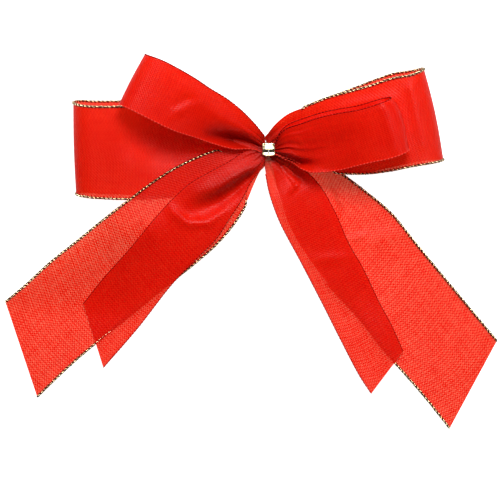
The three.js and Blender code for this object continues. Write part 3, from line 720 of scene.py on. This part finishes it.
def add_trim(name, grid, side, wide, edge_name):
    """Gold yarn along a wide edge, or the corded selvedge of a narrow one."""
    edge = grid[:, side]
    inner = grid[:, 1 if side == 0 else -2]
    out = edge - inner
    out /= np.maximum(1e-6, np.linalg.norm(out, axis=1, keepdims=True))
    if wide:
        tuck = np.zeros(len(edge))
        if (name, side) in HIDDEN:  # the selvedge is rolled under here
            lo, hi = HIDDEN[name, side]
            run = np.hypot(edge[:, 0], edge[:, 1])
            tuck = smooth((run - lo) / 3) * (1 - smooth((run - hi) / 4))
        c = edge + out * (0.30 - 2.4 * tuck)[:, None]
        c[:, 2] = np.maximum(c[:, 2], 0.68)
        c[:, 2] -= 0.7 * tuck * smooth((c[:, 2] - 1.4) / 0.8)
        size = 1 - 0.7 * tuck
        if (name, side) == ("wide_tail_left", -1):  # rolled right under, beside the other pair of tails
            keep = np.hypot(edge[:, 0], edge[:, 1]) >= 14.0
            c, size = c[keep], size[keep]
        far = np.concatenate([[0], np.cumsum(np.linalg.norm(np.diff(c, axis=0), axis=1))])
        c = resample(c, 0.2)
        size = np.interp(np.linspace(0, far[-1], len(c)), far, size)
        c[:, :2] += rng.normal(0, 0.05, (len(c), 2))
        parts = []
        for k, (mat, rad) in enumerate(((GOLD, 0.33), (GOLD, 0.28), (DARK, 0.31))):
            v, q = tube(c, rad, 6, twist=2 * math.pi / 1.9, phase=2 * math.pi * k / 3, offset=0.28, size=size)
            parts.append((v, q, mat))
        trim = mesh_of(f"{name}_gold_edge_{edge_name}_yarn", parts)
        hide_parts(f"{name}_gold_edge_{edge_name}")
    else:
        proud = "loop" in name and side == -1  # the loops' lower edges show the thread on top, the others show it edge on
        c = edge + out * (0.0 if proud else 0.16)
        c[:, 2] = np.maximum(c[:, 2] + (0.12 if proud else -0.08), 0.4)
        if "tail" in name:  # the first stretch lies under the loops
            c = c[np.hypot(c[:, 0], c[:, 1]) >= 10.0]
        c = resample(c, 0.155)
        v, q = tube(c, 0.15, 6, bead=(0.17 if proud else 0.13, 1.55))
        # beads on the loops' lower edges use the painted-highlight copy of the thread; elsewhere the gaps between beads
        # are painted shade, darkest on the loops' upper edges
        row = np.arange(len(q)) // 6  # ten rings to a bead
        gap = (row % 10) >= (5 if proud else 3 if "loop" in name else 4)
        trim = mesh_of(f"{name}_picot_{edge_name}", [(v, [f for f, g in zip(q, gap) if not g], PICOT_LIT if proud else PICOT), (v, [f for f, g in zip(q, gap) if g], PICOT if proud else PICOT_SHADE if "loop" in name else PICOT_GAP_SHADE)])
    return trim


for name, spec in SPEC.items():
    wide = name.startswith("wide")
    grid, uv, shade_share = build_strip(name, step=STEP, **spec)
    grid[..., 2] = np.maximum(grid[..., 2], 0.12)
    obj = make_mesh(name + "_cloth", grid, uv, shade_share, WIDE_MAT if wide else NARROW_MAT)
    names = ("upper", "lower") if "loop" in name else ("outer", "inner")
    trims = [add_trim(name, grid, side, wide, e) for side, e in zip((0, -1), names)]
    for o in (obj, *trims):
        attach(o, name)
    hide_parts(*REPLACES.get(name, [name]))

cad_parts["tie_wire_core"].data.materials.clear()
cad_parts["tie_wire_core"].data.materials.append(STEEL)
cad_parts["tie_twisted_ends"].data.materials.clear()
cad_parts["tie_twisted_ends"].data.materials.append(FOIL)


def foil_band():
    """Foil strip bent round the knot: a barrel of flats and creases that run along X."""
    top = [  # y, z of the section over the top, from the -Y side
        [-2.95, 4.2], [-3.02, 5.4], [-3.0, 6.8], [-2.88, 7.42], [-2.66, 7.60], [-1.52, 7.28], [-1.40, 7.30],
        [-0.26, 7.96], [-0.08, 8.02], [1.62, 7.56], [1.82, 7.22], [2.02, 7.42], [2.58, 7.24], [2.84, 6.5], [3.0, 5.2], [2.95, 4.2],
    ]
    under = [[2.9, 2.6], [2.6, 1.2], [1.9, 0.45], [1.0, 0.12], [0.2, 0.25], [-0.6, 0.1], [-1.6, 0.3], [-2.5, 1.1], [-2.9, 2.6]]
    sec = np.array(top + under, float)
    # even points along the section, with the corners a little rounded
    loop = np.vstack([sec, sec[:1]])
    cum = np.concatenate([[0], np.cumsum(np.linalg.norm(np.diff(loop, axis=0), axis=1))])
    n, m = 260, 27
    q = np.linspace(0, cum[-1], n, endpoint=False)
    ring = np.stack([np.interp(q, cum, loop[:, k]) for k in range(2)], -1)
    for _ in range(2):
        ring = (np.roll(ring, 1, 0) + 2 * ring + np.roll(ring, -1, 0)) / 4
    xs = np.linspace(-1, 1, m)
    grid = np.empty((n, m, 3))
    for j, xn in enumerate(xs):
        pinch = 1 - 0.10 * abs(xn) ** 3.2
        lean = smooth((ring[:, 1] - 6.2) / 0.6) * (0.10 * xn - 0.22 * xn * np.exp(-(((ring[:, 0] - 1.95) / 0.4) ** 2)))
        wave = 0.02 * np.sin(2.0 * xn + 1.2 * ring[:, 0])
        grid[:, j, 0] = 2.72 * xn + 0.10 * np.sin(2.1 * ring[:, 0] + 1.0) * abs(xn)
        grid[:, j, 1] = (ring[:, 0] + lean * (1 - (ring[:, 0] / 3.2) ** 2)) * pinch
        grid[:, j, 2] = np.maximum(0.03, 4.2 + (ring[:, 1] - 4.2 + wave * smooth((ring[:, 1] - 6) / 1.5)) * pinch)
    # the rims turn in
    inner = grid.copy()
    inner[..., 1] *= 0.86
    inner[..., 2] = 4.2 + (inner[..., 2] - 4.2) * 0.9
    verts = np.concatenate([grid.reshape(-1, 3), inner.reshape(-1, 3)])
    i = np.arange(n * m).reshape(n, m)
    j = np.roll(i, -1, axis=0)
    q = np.stack([i[:, :-1], j[:, :-1], j[:, 1:], i[:, 1:]], -1).reshape(-1, 4).tolist()
    o = n * m
    q += [[f[3] + o, f[2] + o, f[1] + o, f[0] + o] for f in q[: n * (m - 1)]]
    for r in range(n):
        r2 = (r + 1) % n
        q.append([int(i[r2, 0]), int(i[r, 0]), int(i[r, 0]) + o, int(i[r2, 0]) + o])
        q.append([int(i[r, -1]), int(i[r2, -1]), int(i[r2, -1]) + o, int(i[r, -1]) + o])
    return verts, q


fv, fq = foil_band()
foil = mesh_of("tie_foil_band_crinkled", [(fv, fq, FOIL)])
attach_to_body(foil, "knot")
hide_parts("tie_foil_band")

# ------------------------------------------------------------------ stage, light, camera
bpy.ops.mesh.primitive_plane_add(size=6.0, location=(0, 0, -0.0002))
floor = bpy.context.object
floor.name = "floor"
m, nt = new_mat("floor")
out = node(nt, "ShaderNodeOutputMaterial")
df = node(nt, "ShaderNodeBsdfDiffuse")
df.inputs["Color"].default_value = (0.85, 0.85, 0.85, 1)
em = node(nt, "ShaderNodeEmission")
em.inputs["Color"].default_value = (1, 1, 1, 1)
lp = node(nt, "ShaderNodeLightPath")
glow = math_node(nt, "MULTIPLY_ADD", lp.outputs["Is Transmission Ray"], 0.62, 0.14)
nt.links.new(math_node(nt, "MULTIPLY_ADD", lp.outputs["Is Camera Ray"], 0.86, glow), em.inputs["Strength"])
ad = node(nt, "ShaderNodeAddShader")
nt.links.new(df.outputs[0], ad.inputs[0])
nt.links.new(em.outputs[0], ad.inputs[1])
nt.links.new(ad.outputs[0], out.inputs["Surface"])
floor.data.materials.append(m)

world = bpy.data.worlds.new("studio")
bpy.context.scene.world = world
world.use_nodes = True
sky = world.node_tree.nodes["Background"]
sky.inputs["Color"].default_value = (1, 1, 1, 1)
lp = node(world.node_tree, "ShaderNodeLightPath")
world.node_tree.links.new(math_node(world.node_tree, "MULTIPLY_ADD", lp.outputs["Is Camera Ray"], 0.90, 0.05), sky.inputs["Strength"])


def softbox(name, loc, target, size, power):
    d = bpy.data.lights.new(name, "AREA")
    d.shape = "RECTANGLE"
    d.size, d.size_y = size
    d.energy = power
    o = bpy.data.objects.new(name, d)
    bpy.context.scene.collection.objects.link(o)
    o.location = loc
    o.rotation_mode = "QUATERNION"
    o.rotation_quaternion = (Vector(target) - Vector(loc)).to_track_quat("-Z", "Y")
    o.visible_camera = False
    return o


softbox("key", (0.10, 0.64, 1.14), (0, -0.03, 0), (0.60, 0.42), 15.4)
softbox("side", (0.95, 0.05, 0.80), (0, -0.03, 0), (0.35, 0.35), 2.4)
softbox("left", (-0.62, 0.90, 0.80), (0, -0.03, 0), (0.35, 0.35), 3.2)

cam_data = bpy.data.cameras.new("camera")
cam_data.sensor_width = 36.0
cam_data.lens = 36.0 * CAM_D / FIELD
cam_data.clip_start, cam_data.clip_end = 0.05, 20
cam = bpy.data.objects.new("camera", cam_data)
bpy.context.scene.collection.objects.link(cam)
cam.location = (CAM_X * MM, CAM_Y * MM, CAM_D * MM)
cam.rotation_euler = (0, 0, 0)
bpy.context.scene.camera = cam
bpy.context.scene.view_settings.view_transform = "Standard"
